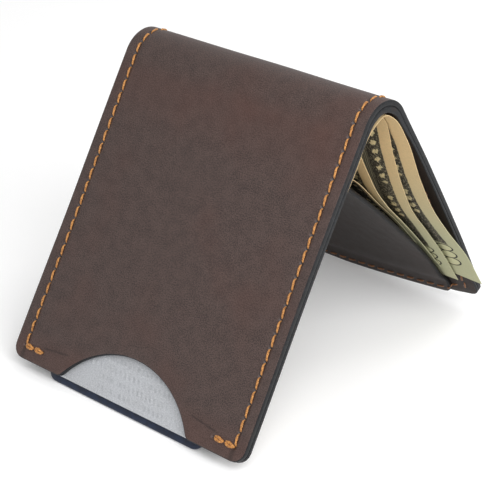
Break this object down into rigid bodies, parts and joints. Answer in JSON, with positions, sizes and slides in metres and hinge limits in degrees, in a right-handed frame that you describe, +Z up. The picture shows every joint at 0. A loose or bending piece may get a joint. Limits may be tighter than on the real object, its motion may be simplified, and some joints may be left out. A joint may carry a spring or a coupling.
{
  "type": "bifold wallet",
  "caption": "Slim bifold leather wallet standing open as a tent, with a bottom-loading card pocket, thumb notch and side-loading note compartment.",
  "frame": {"origin": "on the ground, under the middle of the whole object's box", "axes": "+X along the fold towards the open end of the note compartment, -Y to the half with the card pocket, +Z up"},
  "size_m": [0.0838, 0.1062, 0.079],
  "materials": {
    "outer": "smooth dark brown pull-up leather with dark painted edges",
    "lining": "dark brown lining leather, painted edges",
    "panel": "very dark brown thin leather",
    "thread": "waxed golden-orange thread",
    "card_silver": "satin light-grey card with faint raised rows",
    "card_navy": "glossy dark blue card",
    "note": null
  },
  "bodies": {
    "fold": {"outer_fold": "outer", "lining_fold": "lining", "seam_left_fold": "thread", "seam_right_fold": "thread"},
    "front_half": {"outer_front": "outer", "lining_front": "lining", "pocket_panel_front": "panel", "seam_left_front": "thread", "seam_right_front": "thread", "tack_left_front": "thread", "tack_right_front": "thread"},
    "back_half": {"outer_back": "outer", "lining_back": "lining", "pocket_panel_back": "panel", "seam_left_back": "thread", "seam_right_back": "thread", "seam_bottom_back": "thread"},
    "silver_card": {"silver_card": "card_silver"},
    "navy_card": {"navy_card": "card_navy"},
    "notes_fold": {"banknote_1_fold": "note", "banknote_2_fold": "note", "banknote_3_fold": "note", "banknote_4_fold": "note"},
    "notes_front": {"banknote_1_front": "note", "banknote_2_front": "note", "banknote_3_front": "note", "banknote_4_front": "note"},
    "notes_back": {"banknote_1_back": "note", "banknote_2_back": "note", "banknote_3_back": "note", "banknote_4_back": "note"}
  },
  "joints": [
    {"name": "fold_front", "type": "hinge", "parent": "fold", "child": "front_half", "pos_m": [-0.0023, -0.00353, 0.07745], "axis": [1, 0, 0], "range_deg": [-57.7, 10], "deforming": ["pocket_panel_back"]},
    {"name": "fold_back", "type": "hinge", "parent": "fold", "child": "back_half", "pos_m": [-0.0023, 0.00658, 0.07725], "axis": [-1, 0, 0], "range_deg": [-57.7, 10]},
    {"name": "silver_slide", "type": "slide", "parent": "front_half", "child": "silver_card", "axis": [0, -0.5515, -0.8342], "range_m": [-0.0003, 0.08]},
    {"name": "navy_slide", "type": "slide", "parent": "front_half", "child": "navy_card", "axis": [0, -0.5515, -0.8342], "range_m": [-0.0022, 0.08]},
    {"name": "notes_slide", "type": "slide", "parent": "fold", "child": "notes_fold", "axis": [1, 0, 0], "range_m": [0, 0.07]},
    {"name": "notes_front_fold", "type": "hinge", "parent": "notes_fold", "child": "notes_front", "pos_m": [-0.0023, -0.00353, 0.07745], "axis": [1, 0, 0], "range_deg": [-57.7, 10]},
    {"name": "notes_back_fold", "type": "hinge", "parent": "notes_fold", "child": "notes_back", "pos_m": [-0.0023, 0.00658, 0.07725], "axis": [-1, 0, 0], "range_deg": [-57.7, 10]}
  ],
  "couplings": [
    {"joint": "fold_back", "follows": "fold_front", "ratio": 1},
    {"joint": "notes_front_fold", "follows": "fold_front", "ratio": 1},
    {"joint": "notes_back_fold", "follows": "fold_front", "ratio": 1}
  ]
}
